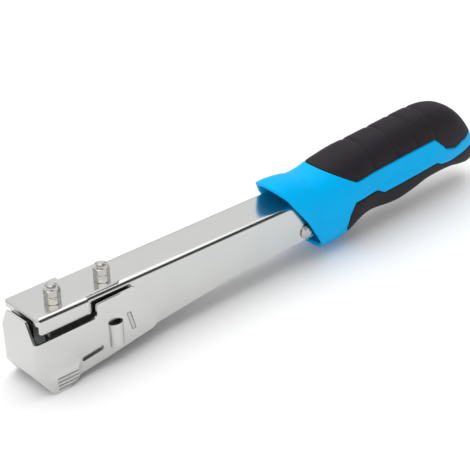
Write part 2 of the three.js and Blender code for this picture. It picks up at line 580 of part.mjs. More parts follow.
const louver = (hand) => halfTube(hand, LOUVER.r, LOUVER.low, LOUVER.high);
const louverHollow = (hand) => bar('z', LOUVER.r - 1.2, LOUVER.low + 1.4, LOUVER.high + 1, 0, 0, 24).scale([1, 0.8, 1])
  .translate([LOUVER.x, hand * (NOSE_HALF - 0.5), 0]);

// Where a tab of the magazine comes through each side.
const TAB = { x: NOSE_FRONT + 61.7, low: 16.5, high: 27.5, lean: 3, width: 2.2 };

function slanted(hand, grow) {
  const half = TAB.width / 2 + grow;
  const low = TAB.low - grow;
  const high = TAB.high + grow;
  return [[TAB.x + TAB.lean / 2 - half, low], [TAB.x + TAB.lean / 2 + half, low],
    [TAB.x - TAB.lean / 2 + half, high], [TAB.x - TAB.lean / 2 - half, high]];
}

const tabSlot = (hand) => sidePrism(slanted(hand, GAP), 6, hand * NOSE_HALF);

// The long window through which the staples are seen.
function windowSlot(hand) {
  const f = NOSE_FRONT;
  return sidePrism([[f + 28, 10.7, 1], [f + 42.3, 12.4, 1], [f + 42.3, 15.4, 1], [f + 28, 13.7, 1]], 6, hand * NOSE_HALF);
}

function makeStrikingPlate() {
  const half = NOSE_HALF - SHEET - GAP;
  const front = NOSE_FRONT + EXIT_FRONT;
  const slot = BLADE_WIDTH / 2 + 0.7;
  const low = sidePrism([[front + 1.2, 0], [front + EXIT_LENGTH, 0], [front + EXIT_LENGTH, STRIKE_THICK], [front, STRIKE_THICK],
    [front, 1.2]], 2 * half);
  return low.subtract(block(front + 1.4, front + 4.1, -slot, slot, -1, 3));
}

// The hardened block on the striking plate, with the channel that the blade runs in.
function makeBladeGuide() {
  const half = NOSE_HALF - SHEET - GAP;
  const front = NOSE_FRONT + EXIT_FRONT;
  const back = MAG_FRONT - MAG_HEIGHT * Math.sin(THREE.MathUtils.degToRad(MAG_TILT)) - GAP;
  const body = sidePrism([[front, STRIKE_THICK + SEAT], [back, STRIKE_THICK + SEAT], [back, 18.5], [front, 18.5]], 2 * half);
  const channel = block(front + 1.4, front + 4.1, -BLADE_WIDTH / 2 - 0.4, BLADE_WIDTH / 2 + 0.4, 0, 20);
  const feed = block(front + 3, MAG_FRONT + 1, -BLADE_WIDTH / 2 - 0.4, BLADE_WIDTH / 2 + 0.4, 0, 11.5);
  return cut(body, [channel, feed]);
}

// In magazine axes.
const PIVOT_IN_MAG = (() => {
  const tilt = THREE.MathUtils.degToRad(MAG_TILT);
  const dx = STRIKE_TO_PIVOT - MAG_FRONT;
  const dz = PIVOT_HEIGHT - MAG_LIFT;
  return { s: dx * Math.cos(tilt) + dz * Math.sin(tilt), n: -dx * Math.sin(tilt) + dz * Math.cos(tilt) };
})();

function makeMagazineChannel() {
  const { s, n } = PIVOT_IN_MAG;
  const body = invertedU(MAG_WIDTH, MAG_WALL, 1.6, -8, MAG_HEIGHT, 0, MAG_LENGTH)
    .intersect(sidePrism([[0, 0], [s - 14, 0, 4], [s - 7, n - 6.5, 4], [s + 6.5, n - 6.5, 6], [MAG_LENGTH + 2, n + 2, 4],
      [MAG_LENGTH - 6, MAG_HEIGHT + 1, 4], [0, MAG_HEIGHT + 1]], 40));
  return body.subtract(bar('y', PIN_R + RUNNING, -20, 20, s, n, 48)).subtract(
    block(DETENT_PLACE - 1.6, DETENT_PLACE + 1.6, -1.7, 1.7, MAG_HEIGHT - 2, MAG_HEIGHT + 1),
  );
}

const DETENT_PLACE = RAIL_LENGTH - 6;

// Two ears on a saddle that carry the nose housing, each with the tab that fills its slot.
function makeNoseBracket() {
  const f = NOSE_FRONT;
  const half = NOSE_HALF - SHEET - GAP;
  const tilt = Math.tan(THREE.MathUtils.degToRad(MAG_TILT));
  const floor = (x) => MAG_LIFT + MAG_HEIGHT + SEAT + 0.1 + (x - MAG_FRONT) * tilt;
  const saddle = sidePrism([[f + 20, floor(f + 20)], [f + 66, floor(f + 66)], [f + 66, floor(f + 66) + 2], [f + 20, floor(f + 20) + 2]],
    2 * half);
  const walls = [-1, 1].map((hand) => sidePrism([[f + 20, floor(f + 20) - 6], [f + 66, floor(f + 66) - 6, 2],
    [f + 66, floor(f + 66) + 6, 3], [f + 20, floor(f + 20) + 6, 3]], 1.2, hand * (half - 0.6)));
  const tabs = [-1, 1].map((hand) => sidePrism(slanted(hand, 0), SHEET + GAP + 0.4, hand * (NOSE_HALF - (SHEET + GAP + 0.4) / 2)));
  const louverRoom = [-1, 1].map((hand) => louverHollow(hand));
  return cut(joined([saddle, ...walls, ...tabs]), louverRoom);
}

// In magazine axes: the bumper, the cup of the return spring and the spring itself.
const BUMPER = { from: 64.5, to: 86.5, width: 15, top: 27.6 };

function makeBumper() {
  return sidePrism([[BUMPER.from, MAG_HEIGHT + SEAT], [BUMPER.to, MAG_HEIGHT + SEAT], [BUMPER.to - 2, BUMPER.top - 1.4, 2],
    [BUMPER.from + 2, BUMPER.top, 2]], BUMPER.width);
}

const CUP_HEIGHT = 4;

function makeSpringCup() {
  const low = MAG_HEIGHT + SEAT;
  return turned([[0, low], [9, low], [9, low + 1.2], [4.4, low + 1.2], [4.4, low + CUP_HEIGHT - 0.5], [4, low + CUP_HEIGHT],
    [0, low + CUP_HEIGHT]], SPRING_PLACE_IN_MAG, 0, 24).intersect(block(0, 200, -7.4, 7.4, 0, 40));
}

// The spring stands square on the magazine, and its axis meets the post's at the post's middle.
const SPRING_TILT = THREE.MathUtils.degToRad(MAG_TILT + ARM_TILT);
const SPRING_PLACE_IN_MAG = PIVOT_IN_MAG.s + SPRING_PLACE * Math.cos(SPRING_TILT) + (ARM_TOP - ARM_WALL - 4.5) * Math.sin(SPRING_TILT);

function makeReturnSpring() {
  const low = MAG_HEIGHT + SEAT + 1.2 + GAP;
  const flange = PIVOT_IN_MAG.n + (ARM_TOP - ARM_WALL - 1.4) * Math.cos(SPRING_TILT) - SPRING_PLACE * Math.sin(SPRING_TILT);
  const high = flange - 6 * Math.sin(SPRING_TILT) - 1.2;
  return spring(5.4, 1.2, low, high, 5.5, 12).translate([SPRING_PLACE_IN_MAG, 0, 0]);
}

// A spacer between the magazine and the arm's wall, on the pin.
function makeBush(hand) {
  const from = MAG_WIDTH / 2 + 0.15;
  const to = ARM_HALF - ARM_WALL - 0.15;
  const [a, b] = hand > 0 ? [from, to] : [-to, -from];
  return bar('y', 4.8, a, b, 0, 0, 32).subtract(bar('y', PIN_R + RUNNING, a - 1, b + 1, 0, 0, 48));
}

// ---------------------------------------------------------------- staple rail, in magazine axes

const RAIL_FRONT = 0.8;
const SLOT_HALF = 1.6;

function makeRail() {
  const shell = invertedU(RAIL_WIDTH, RAIL_WALL, 1, RAIL_LOW, RAIL_HIGH, RAIL_FRONT, RAIL_LENGTH);
  const frontWall = block(RAIL_FRONT, RAIL_FRONT + 1.6, -RAIL_WIDTH / 2 + 0.5, RAIL_WIDTH / 2 - 0.5, RAIL_LOW, RAIL_HIGH - 0.5);
  const slot = block(RAIL_FRONT + 3, RAIL_LENGTH - 4, -SLOT_HALF, SLOT_HALF, RAIL_HIGH - 2, RAIL_HIGH + 1);
  const rodHole = bar('x', ROD_R + 0.15, RAIL_FRONT - 1, RAIL_FRONT + 3, 0, ROD_HEIGHT, 16);
  return cut(shell.add(frontWall), [slot, rodHole]);
}

function makeGuideRod() {
  return bar('x', ROD_R, RAIL_FRONT + 0.3, RAIL_LENGTH + 4, 0, ROD_HEIGHT, 16);
}

// The block in the rail's rear end, with a finger pull under it.
function makeRailEnd() {
  const start = RAIL_LENGTH + GAP;
  const body = sidePrism([[start, RAIL_LOW], [start + 5, RAIL_LOW - 1.2, 2], [start + 8.5, RAIL_LOW - 1.2, 1], [start + 8.5, RAIL_HIGH, 2],
    [start, RAIL_HIGH]], RAIL_WIDTH);
  const plug = block(RAIL_LENGTH - 4, start + 1, -RAIL_WIDTH / 2 + RAIL_WALL + 0.2, RAIL_WIDTH / 2 - RAIL_WALL - 0.2, RAIL_LOW + 1, RAIL_HIGH - 1.4);
  return cut(body.add(plug), [bar('x', ROD_R + 0.15, RAIL_LENGTH - 6, start + 5, 0, ROD_HEIGHT, 16)]);
}

// A bowed leaf on the end block, whose bump sits in a hole of the magazine.
function makeDetentSpring() {
  const low = RAIL_HIGH + 0.25;
  return sidePrism([[RAIL_LENGTH + 7, low], [RAIL_LENGTH + 7, low + 0.4], [DETENT_PLACE + 2, low + 0.6],
    [DETENT_PLACE + 0.6, MAG_HEIGHT - 0.4], [DETENT_PLACE - 0.6, MAG_HEIGHT - 0.4], [DETENT_PLACE - 2, low + 0.6],
    [DETENT_PLACE - 4, low + 0.5], [DETENT_PLACE - 4, low + 0.1], [DETENT_PLACE - 1.7, low + 0.2],
    [DETENT_PLACE - 0.4, MAG_HEIGHT - 0.8], [DETENT_PLACE + 0.4, MAG_HEIGHT - 0.8], [DETENT_PLACE + 1.7, low + 0.2]], 3);
}

const PUSHER_FRONT = RAIL_FRONT + 3.4;

function makePusher() {
  const half = MAG_WIDTH / 2 - MAG_WALL - 0.3;
  const saddle = invertedU(2 * half, half - RAIL_WIDTH / 2 - 0.2, 0.8, RAIL_LOW + 1.4, RAIL_HIGH + 1.1, PUSHER_FRONT, PUSHER_FRONT + PUSHER_LENGTH)
    .subtract(block(0, 40, -RAIL_WIDTH / 2 - 0.2, RAIL_WIDTH / 2 + 0.2, 0, RAIL_HIGH + 0.2));
  const tongue = block(PUSHER_FRONT + 4, PUSHER_FRONT + 10, -SLOT_HALF + 0.3, SLOT_HALF - 0.3, ROD_HEIGHT - 2.2, RAIL_HIGH + 1);
  return joined([saddle, tongue]).subtract(bar('x', ROD_R + 0.2, 0, 40, 0, ROD_HEIGHT, 16));
}

function makePusherSpring() {
  const from = PUSHER_FRONT + 10 + GAP;
  const to = RAIL_LENGTH - 4 - GAP;
  return spring(2.1, 0.55, from, to, 15, 8).rotate([0, 90, 0]).translate([0, 0, ROD_HEIGHT]);
}

// ---------------------------------------------------------------- assembly

const tool = new THREE.Group();

const arm = new THREE.Group();
arm.position.set(STRIKE_TO_PIVOT, 0, PIVOT_HEIGHT);
arm.rotation.y = THREE.MathUtils.degToRad(ARM_TILT);
tool.add(arm);

const magazine = new THREE.Group();
magazine.position.set(MAG_FRONT, 0, MAG_LIFT);
magazine.rotation.y = -THREE.MathUtils.degToRad(MAG_TILT);
tool.add(magazine);

addPart(arm, 'arm_channel', makeArmChannel(), chrome);
addPart(arm, 'top_plate', makeTopPlate(), chrome);
addPart(arm, 'driver_block', makeDriverBlock(), steel);
addPart(arm, 'driver_blade', makeDriverBlade(), springSteel);
Object.entries(BOLT_PLACES).forEach(([place, u]) => {
  addPart(arm, `driver_bolt_${place}`, makeDriverBolt(u), steel);
  addPart(arm, `plain_nut_${place}`, makePlainNut(u), chrome);
  addPart(arm, `lock_nut_${place}`, makeLockNut(u), chrome);
  addPart(arm, `nylon_ring_${place}`, makeNylonRing(u), nylon);
});
addPart(arm, 'pivot_pin', makePivotPin(), chrome);
addPart(arm, 'pivot_washer', makePinWasher(), steel);
addPart(arm, 'pivot_clip', makePinClip(), springSteel);
addPart(arm, 'spring_post', makeSpringPost(), steel);
addPart(arm, 'handle_body', makeHandleBody(), blue);
addPart(arm, 'upper_grip', makeUpperGrip(), black);
addPart(arm, 'lower_grip', makeLowerGrip(), black);
SCREW_PLACES.forEach((u, i) => addPart(arm, `handle_screw_${i + 1}`, makeHandleScrew(u), steel));

addPart(tool, 'nose_housing', makeNoseHousing(), chrome);
addPart(tool, 'nose_bracket', makeNoseBracket(), steel);
addPart(tool, 'striking_plate', makeStrikingPlate(), steel);
addPart(tool, 'blade_guide', makeBladeGuide(), steel);
addPart(magazine, 'magazine_channel', makeMagazineChannel(), steel);
addPart(magazine, 'bumper', makeBumper(), rubber);
addPart(magazine, 'spring_cup', makeSpringCup(), steel);
addPart(magazine, 'return_spring', makeReturnSpring(), springSteel);
[['near', -1], ['far', 1]].forEach(([side, hand]) => {
  const bush = new THREE.Group();
  bush.position.set(PIVOT_IN_MAG.s, 0, PIVOT_IN_MAG.n);
  magazine.add(bush);
  addPart(bush, `pivot_bush_${side}`, makeBush(hand), steel);
});

addPart(magazine, 'staple_rail', makeRail(), steel);
addPart(magazine, 'guide_rod', makeGuideRod(), springSteel);
addPart(magazine, 'rail_end', makeRailEnd(), steel);
addPart(magazine, 'detent_spring', makeDetentSpring(), springSteel);
addPart(magazine, 'pusher', makePusher(), steel);
addPart(magazine, 'pusher_spring', makePusherSpring(), springSteel);

export default tool;
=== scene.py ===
# %% [markdown]
# # A hammer tacker
# A staple gun that is swung like a hammer: a chromed head and arm, and a blue handle with soft black grips.
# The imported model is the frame. It gives every place and size, and the pieces made here ride on its bodies.

# %% Load the frame
import bpy
import bmesh
import json
import math
import numpy as np
from mathutils import Vector, Matrix

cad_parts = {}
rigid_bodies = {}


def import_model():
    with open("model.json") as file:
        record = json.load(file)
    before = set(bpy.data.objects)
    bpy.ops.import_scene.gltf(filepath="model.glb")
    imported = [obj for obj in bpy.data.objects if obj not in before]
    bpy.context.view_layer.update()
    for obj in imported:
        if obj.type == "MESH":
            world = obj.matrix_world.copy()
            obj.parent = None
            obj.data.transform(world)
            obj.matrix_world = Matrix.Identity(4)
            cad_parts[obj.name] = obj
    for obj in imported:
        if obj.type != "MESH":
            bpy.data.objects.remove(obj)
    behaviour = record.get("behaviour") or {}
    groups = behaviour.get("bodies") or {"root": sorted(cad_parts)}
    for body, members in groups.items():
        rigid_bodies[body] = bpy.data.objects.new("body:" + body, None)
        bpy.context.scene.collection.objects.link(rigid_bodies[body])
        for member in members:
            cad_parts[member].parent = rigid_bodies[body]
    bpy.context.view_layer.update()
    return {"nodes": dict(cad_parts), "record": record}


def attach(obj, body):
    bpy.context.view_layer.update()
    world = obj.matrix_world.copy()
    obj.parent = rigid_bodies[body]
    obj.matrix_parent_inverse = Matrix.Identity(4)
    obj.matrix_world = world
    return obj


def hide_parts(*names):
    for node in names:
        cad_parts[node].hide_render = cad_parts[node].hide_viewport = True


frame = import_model()
MM = 0.001

# %% [markdown]
# ## Camera
# A long lens from above and in front of the nose, on the near side, as in a shop picture.
# The place is given from the pivot pin, in the arm's own axes, and turned by the arm's tilt into the frame.

# %% Make the camera
PIVOT = np.array([176.7, 0.0, 22.5]) * MM
ARM_TILT = math.radians(0.8)


def from_arm(u, y, w):
    """Arm axes in mm (u towards the handle, w up, from the pin) to the frame in metres: a turn by the tilt about Y, then a shift."""
    c, s = math.cos(ARM_TILT), math.sin(ARM_TILT)
    return np.stack(np.broadcast_arrays(PIVOT[0] + (u * c + w * s) * MM, y * MM, PIVOT[2] + (w * c - u * s) * MM), -1)


def turn_from_arm(v):
    return Vector(from_arm(*v) - from_arm(0, 0, 0)).normalized()


camera = bpy.data.objects.new("camera", bpy.data.cameras.new("camera"))
bpy.context.scene.collection.objects.link(camera)
bpy.context.scene.camera = camera
azimuth, elevation, roll = map(math.radians, (-40.33, 29.44, -1.54))
away = Vector((math.sin(azimuth) * math.cos(elevation), -math.cos(azimuth) * math.cos(elevation), math.sin(elevation)))
across = (-away).cross(Vector((0, 0, 1))).normalized()
above = across.cross(-away)
right = across * math.cos(roll) + above * math.sin(roll)
up = above * math.cos(roll) - across * math.sin(roll)
axes = [turn_from_arm(tuple(v / MM for v in axis)) for axis in (right, up, away)]
turn = Matrix([list(row) for row in zip(*axes)]).to_4x4()
camera.matrix_world = Matrix.Translation(Vector(from_arm(-551.6, -597.5, 451.65))) @ turn
camera.data.lens = 119.9
camera.data.sensor_width = 36
camera.data.clip_start, camera.data.clip_end = 0.05, 20
print("camera at", [round(v, 3) for v in camera.matrix_world.translation])

# %% [markdown]
# ## Floor and light
# A pale floor that runs far back, a large soft light overhead, a softer one from the camera's side and dark cards
# between them. Chrome has no colour of its own: it shows these lights and the gaps between them.

# %% Floor and lights


def node(tree, kind, settings=None, **links):
    """Adds one shader node. settings set its properties or socket values, and links join its inputs to other outputs."""
    made = tree.nodes.new(kind)
    for key, value in (settings or {}).items():
        if isinstance(key, int) or key in made.inputs.keys():
            made.inputs[key].default_value = value
        else:
            setattr(made, key, value)
    for key, output in links.items():
        socket = made.inputs[int(key[1:])] if key[0] == "i" and key[1:].isdigit() else made.inputs[key.replace("_", " ")]
        tree.links.new(output, socket)
    return made


def linear(hex_colour):
    """An sRGB hex colour as linear RGBA."""
    s = np.array([int(hex_colour[i:i + 2], 16) for i in (1, 3, 5)]) / 255
    rgb = np.where(s <= 0.04045, s / 12.92, ((s + 0.055) / 1.055) ** 2.4)
    return (*map(float, rgb), 1.0)


def new_material(name):
    material = bpy.data.materials.new(name)
    material.use_nodes = True
    material.node_tree.nodes.clear()
    tree = material.node_tree
    shader = node(tree, "ShaderNodeBsdfPrincipled")
    node(tree, "ShaderNodeOutputMaterial", Surface=shader.outputs[0])
    return material, tree, shader


def grid_mesh(name, points, close_v=False):
    """A mesh from a grid of points (rows, columns, xyz): neighbouring points make quads, and close_v joins the last
    column to the first."""
    rows, columns = points.shape[:2]
    index = np.arange(rows * columns).reshape(rows, columns)
    a = index[:-1]
    b = index[1:]
    if close_v:
        quads = np.stack([a, b, np.roll(b, -1, 1), np.roll(a, -1, 1)], -1)
    else:
        quads = np.stack([a[:, :-1], b[:, :-1], b[:, 1:], a[:, 1:]], -1)
    mesh = bpy.data.meshes.new(name)
    mesh.from_pydata(points.reshape(-1, 3), [], quads.reshape(-1, 4))
    return mesh


def add_object(name, mesh, smooth=True):
    made = bpy.data.objects.new(name, mesh)
    bpy.context.scene.collection.objects.link(made)
    if smooth:
        mesh.polygons.foreach_set("use_smooth", np.ones(len(mesh.polygons), bool))
    return made


def area_light(name, place, aim, size, power, colour="#FFFFFF"):
    data = bpy.data.lights.new(name, "AREA")
    data.shape = "RECTANGLE"
    data.size, data.size_y = size
    data.energy = power
    data.color = linear(colour)[:3]
    light = bpy.data.objects.new(name, data)
    bpy.context.scene.collection.objects.link(light)
    light.location = place
    light.rotation_euler = (Vector(aim) - Vector(place)).to_track_quat("-Z", "Y").to_euler()
    return light


extent = np.linspace(-3, 3, 7)
floor_points = np.stack(np.meshgrid(extent, extent, indexing="ij") + [np.zeros((7, 7))], -1)
floor = add_object("floor", grid_mesh("floor", floor_points), smooth=False)
floor_material, tree, shader = new_material("matt white studio floor")
shader.inputs["Base Color"].default_value = linear("#F7F7F7")
shader.inputs["Roughness"].default_value = 1.0
shader.inputs["Specular IOR Level"].default_value = 0.1
floor.data.materials.append(floor_material)

# The world is a white tent with one dark flag over the camera's side and a grey band at the horizon:
# what the flag does is seen only as the thin dark lines along the bends of the chrome.
world = bpy.data.worlds.new("studio")
world.use_nodes = True
tree = world.node_tree
tree.nodes.clear()
direction = node(tree, "ShaderNodeTexCoord").outputs["Generated"]
towards_flag = Vector((0.45, -0.62, 0.64)).normalized()
flag_side = node(tree, "ShaderNodeVectorMath", {"operation": "DOT_PRODUCT", 1: towards_flag}, i0=direction)
smooth = {"interpolation_type": "SMOOTHSTEP"}
flag = node(tree, "ShaderNodeMapRange", {**smooth, "From Min": 0.80, "From Max": 0.90, "To Min": 1.0, "To Max": 0.06},
            Value=flag_side.outputs["Value"])
height = node(tree, "ShaderNodeSeparateXYZ", i0=direction).outputs["Z"]
band = node(tree, "ShaderNodeMapRange", {**smooth, "From Min": -0.02, "From Max": 0.30, "To Min": 0.30, "To Max": 1.0},
            Value=height)
tent = node(tree, "ShaderNodeMath", {"operation": "MULTIPLY"}, i0=flag.outputs[0], i1=band.outputs[0])
seen = node(tree, "ShaderNodeLightPath").outputs["Is Camera Ray"]
level = node(tree, "ShaderNodeMix", {"data_type": "FLOAT", 3: 1.0}, i0=seen, i2=tent.outputs[0])
background = node(tree, "ShaderNodeBackground", {"Color": (1, 1, 1, 1)}, Strength=level.outputs[0])
node(tree, "ShaderNodeOutputWorld", Surface=background.outputs[0])
bpy.context.scene.world = world
bpy.context.scene.view_settings.view_transform = "Standard"
area_light("overhead", (0.12, 0.15, 1.7), (0.12, 0, 0.03), (2.4, 2.0), 16)
area_light("near_side", (-0.7, -1.3, 0.9), (0.12, 0, 0.03), (1.2, 0.7), 3)

# %% [markdown]
# ## Materials
# Chromed sheet steel, satin steel, blued spring steel, glossy blue polypropylene, soft black rubber and nylon.

# %% Metals


def in_mm(tree):
    """Object coordinates scaled to millimetres, so that a pattern's scale is one over its size in mm."""
    coordinates = node(tree, "ShaderNodeTexCoord")
    return node(tree, "ShaderNodeVectorMath", {"operation": "SCALE", "Scale": 1000.0}, i0=coordinates.outputs["Object"]).outputs[0]


def metal(name, colour, rough, smudge, grain, grain_height):
    """A metal whose roughness drifts with wear and whose fine grain lifts the surface a little."""
    material, tree, shader = new_material(name)
    place = in_mm(tree)
    cloud = node(tree, "ShaderNodeTexNoise", {"Scale": 0.06, "Detail": 4.0, "Roughness": 0.6}, Vector=place)
    spread = node(tree, "ShaderNodeMapRange", {"To Min": rough, "To Max": rough + smudge}, Value=cloud.outputs[0])
    tree.links.new(spread.outputs[0], shader.inputs["Roughness"])
    worn = tuple(0.93 * v for v in linear(colour)[:3]) + (1,)
    tone = node(tree, "ShaderNodeMix", {"data_type": "RGBA", 6: linear(colour), 7: worn}, i0=cloud.outputs[0])
    tree.links.new(tone.outputs[2], shader.inputs["Base Color"])
    shader.inputs["Metallic"].default_value = 1.0
    fine = node(tree, "ShaderNodeTexNoise", {"Scale": grain, "Detail": 2.0}, Vector=place)
    bump = node(tree, "ShaderNodeBump", {"Strength": 0.25, "Distance": grain_height * MM}, Height=fine.outputs[0])
    tree.links.new(bump.outputs[0], shader.inputs["Normal"])
    return material


# Chrome plate over pressed sheet: bright, a little wavy over 10 mm or so from the press.
chrome = metal("chrome plated pressed steel", "#CECFCD", 0.17, 0.06, 0.10, 0.04)
# Chrome plated steel of the nuts and the pin: turned, and more polished than the pressed sheet. Its colour is made a
# little darker as painted reflection, standing in for dark surroundings mirrored in their faces.
dark_reflection_chrome = metal("turned chrome darkened as painted reflection", "#BDBAB6", 0.08, 0.05, 0.3, 0.02)
# Zinc plated steel of the inner pieces: duller and grey.
zinc = metal("zinc plated steel", "#C3C3C0", 0.30, 0.15, 1.2, 0.02)
# Hardened spring steel, oiled and dark.
hardened = metal("hardened spring steel", "#8E8F92", 0.25, 0.12, 1.5, 0.01)
print("four metals")

# %% Plastics


def moulded(name, colour, rough, grain_mm, grain_height, specular=0.5):
    """A moulded plastic: texture of the mould as bump, with a roughness that drifts a little."""
    material, tree, shader = new_material(name)
    place = in_mm(tree)
    texture = node(tree, "ShaderNodeTexNoise", {"Scale": 1 / grain_mm, "Detail": 3.0, "Roughness": 0.6}, Vector=place)
    drift = node(tree, "ShaderNodeTexNoise", {"Scale": 0.05, "Detail": 3.0}, Vector=place)
    spread = node(tree, "ShaderNodeMapRange", {"To Min": rough - 0.05, "To Max": rough + 0.08}, Value=drift.outputs[0])
    tree.links.new(spread.outputs[0], shader.inputs["Roughness"])
    dark = tuple(0.86 * v for v in linear(colour)[:3]) + (1,)
    tone = node(tree, "ShaderNodeMix", {"data_type": "RGBA", 6: dark, 7: linear(colour)}, i0=drift.outputs[0])
    tree.links.new(tone.outputs[2], shader.inputs["Base Color"])
    bump = node(tree, "ShaderNodeBump", {"Strength": 0.4, "Distance": grain_height * MM}, Height=texture.outputs[0])
    tree.links.new(bump.outputs[0], shader.inputs["Normal"])
    shader.inputs["Specular IOR Level"].default_value = specular
    shader.inputs["IOR"].default_value = 1.49
    return material


# Polypropylene off a polished mould.
blue = moulded("glossy blue polypropylene", "#00B6F8", 0.42, 1.2, 0.02, specular=0.06)
# Thermoplastic rubber with the fine sparked texture of its mould, drawn at 0.5 mm so that it shows.
grip_black = moulded("sparked black thermoplastic rubber", "#221E24", 0.62, 0.5, 0.06, specular=0.2)
bumper_black = moulded("moulded black rubber", "#1A1A1A", 0.7, 0.6, 0.05)
nylon_white = moulded("natural nylon", "#C9D0D8", 0.4, 0.8, 0.02)
print("four plastics")

# %% Give every carried-over piece its material
FINISH = {"chrome": chrome, "steel": zinc, "spring_steel": hardened, "blue_plastic": blue, "black_grip": grip_black,
          "rubber": bumper_black, "nylon": nylon_white}
slots = {part["node"]: part["material_slot"] for part in frame["record"]["subparts"]}
body_of = {name: body for body, names in frame["record"]["behaviour"]["bodies"].items() for name in names}
# The nuts and the pin take the chrome whose darker colour is painted reflection.
TURNED = ("plain_nut_front", "plain_nut_rear", "lock_nut_front", "lock_nut_rear", "pivot_pin")
for name, piece in frame["nodes"].items():
    piece.data.materials.clear()
    piece.data.materials.append(dark_reflection_chrome if name in TURNED else FINISH[slots[name]])
print(len(slots), "nodes have a finish")

# %% [markdown]
# ## Pressed and turned metal with broken edges
# A real pressed or turned piece has no sharp edge, and its rounded edges catch the light.
# The flat sides stay as the frame gives them, so a copy of the node is merged and its edges are rounded by a Bevel.

# %% Round the edges of the metal pieces


def rounded_copy(name, radius, segments=2, angle=28):
    """A copy of a node, merged, with the triangles of each flat side joined and each edge sharper than the angle rounded."""
    mesh = frame["nodes"][name].data.copy()
    shape = bmesh.new()
    shape.from_mesh(mesh)
    bmesh.ops.remove_doubles(shape, verts=shape.verts, dist=1e-6)
    bmesh.ops.dissolve_limit(shape, angle_limit=math.radians(0.5), verts=shape.verts, edges=shape.edges)
    shape.to_mesh(mesh)
    shape.free()
    made = add_object("visual_" + name, mesh)
    bevel = made.modifiers.new("rounded edges", "BEVEL")
    bevel.width = radius * MM
    bevel.segments = segments
    bevel.limit_method = "ANGLE"
    bevel.angle_limit = math.radians(angle)
    bevel.use_clamp_overlap = True
    bevel.harden_normals = True
    mesh.set_sharp_from_angle(angle=math.radians(angle))
    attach(made, body_of[name])
    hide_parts(name)
    return made


EDGES = {"arm_channel": 0.3, "top_plate": 0.35, "driver_block": 0.4, "nose_housing": 0.35, "striking_plate": 0.2,
         "blade_guide": 0.2, "nose_bracket": 0.3, "magazine_channel": 0.2, "bumper": 0.6, "plain_nut_front": 0.2,
         "plain_nut_rear": 0.2, "lock_nut_front": 0.2, "lock_nut_rear": 0.2, "staple_rail": 0.2, "rail_end": 0.3,
         "pusher": 0.2}
for name, radius in EDGES.items():
    rounded_copy(name, radius)
print(len(EDGES), "pieces with rounded edges")

# %% [markdown]
# ## The shape of the handle
# The handle is a two-shot moulding: a hard blue body with beds in it, and soft black grips moulded into the beds.
# Both come from one surface. A cross-section is a superellipse, a rounded box, whose top, bottom and half width
# follow smooth curves along the arm. A grid over the surface is bent so that the edges of the grips are lines of
# the grid: then a bed, a grip and the step between them are clean, with no jagged cut.

# %% Curves of the handle
SQUARENESS = 2.5


def curve(points):
    """A smooth curve through points (x, y): cubic Hermite pieces whose slope at a point is that of the chord between its neighbours."""
    x, y = np.array(points, float).T
    chord = np.concatenate([[(y[1] - y[0]) / (x[1] - x[0])], (y[2:] - y[:-2]) / (x[2:] - x[:-2]), [(y[-1] - y[-2]) / (x[-1] - x[-2])]])

    def at(u):
        k = np.clip(np.searchsorted(x, u, side="right") - 1, 0, len(x) - 2)
        h = x[k + 1] - x[k]
        t = np.clip((u - x[k]) / h, 0, 1)
        return (y[k] * (1 + 2 * t) * (1 - t) ** 2 + chord[k] * h * t * (1 - t) ** 2
                + y[k + 1] * t * t * (3 - 2 * t) + chord[k + 1] * h * t * t * (t - 1))
    return at


top_of = curve([(-36, 31), (-24, 32.6), (-14, 33.6), (-4, 32.6), (6, 30.9), (14, 31.6), (25, 34.2), (40, 36.5), (60, 38.2), (80, 39.9),
                (95, 41), (108, 41.4), (118, 40.6), (128, 37.2), (137.5, 29.8), (145.5, 20), (151, 11), (154, 3)])
bottom_of = curve([(-36, -15), (0, -18.6), (16, -19.8), (25, -19.8), (31, -18.8), (37, -16.4), (43, -13.2), (50, -11.2), (58, -10.4),
                   (73, -11.9), (81, -12.1), (93, -10), (105, -7), (118, -6), (130, -6.3), (140, -8), (148, -8.6), (154, -5)])
half_width_of = curve([(-36, 17.2), (-10, 18), (15, 18.6), (40, 18.8), (52, 17.6), (80, 17.2), (110, 16.8), (130, 15.4), (143, 12.6), (151, 9), (154, 5)])
TAIL = 154.0
print("handle ends", TAIL, "mm behind the pin")


def section(u):
    """Middle height, half height and half width of the section at u."""
    return (top_of(u) + bottom_of(u)) / 2, (top_of(u) - bottom_of(u)) / 2, half_width_of(u)


def on_surface(u, angle, out=0.0):
    """The point at u and angle round the section (0 at the side, 90 degrees on top), moved out along the normal by out.
    |y / half width| ** p + |(w - middle) / half height| ** p = 1, and its gradient is the normal."""
    middle, tall, wide = section(u)
    power = lambda v, e: np.sign(v) * np.abs(v) ** e
    cy, cz = power(np.cos(angle), 2 / SQUARENESS), power(np.sin(angle), 2 / SQUARENESS)
    step = 0.5
    m1, t1, w1 = (after - before for after, before in zip(section(np.minimum(u + step, TAIL)), section(u - step)))
    width = np.minimum(u + step, TAIL) - (u - step)
    ny = power(cy, SQUARENESS - 1) / wide
    nz = power(cz, SQUARENESS - 1) / tall
    nu = -(np.abs(cy) ** SQUARENESS * w1 / wide + np.abs(cz) ** SQUARENESS * t1 / tall + power(cz, SQUARENESS - 1) * m1 / tall) / width
    length = np.sqrt(nu ** 2 + ny ** 2 + nz ** 2)
    return np.stack([u + out * nu / length, wide * cy + out * ny / length, middle + tall * cz + out * nz / length], -1)


def angle_at(u, w):
    """The angle on the near half at which the section at u reaches the height w, held between the bottom and the top."""
    middle, tall, _ = section(u)
    v = np.clip((w - middle) / tall, -1, 1)
    return np.arcsin(np.sign(v) * np.abs(v) ** (SQUARENESS / 2))


# %% [markdown]
# ## Where the grips end
# Seen from the side, the upper grip starts at a raked line behind the collar and its lower edge has two jogs.
# The lower grip starts behind the lobe for the little finger and has jogs of its own. Straight pieces between a few
# measured corners are all this needs, and the same lines serve the near and the far side.

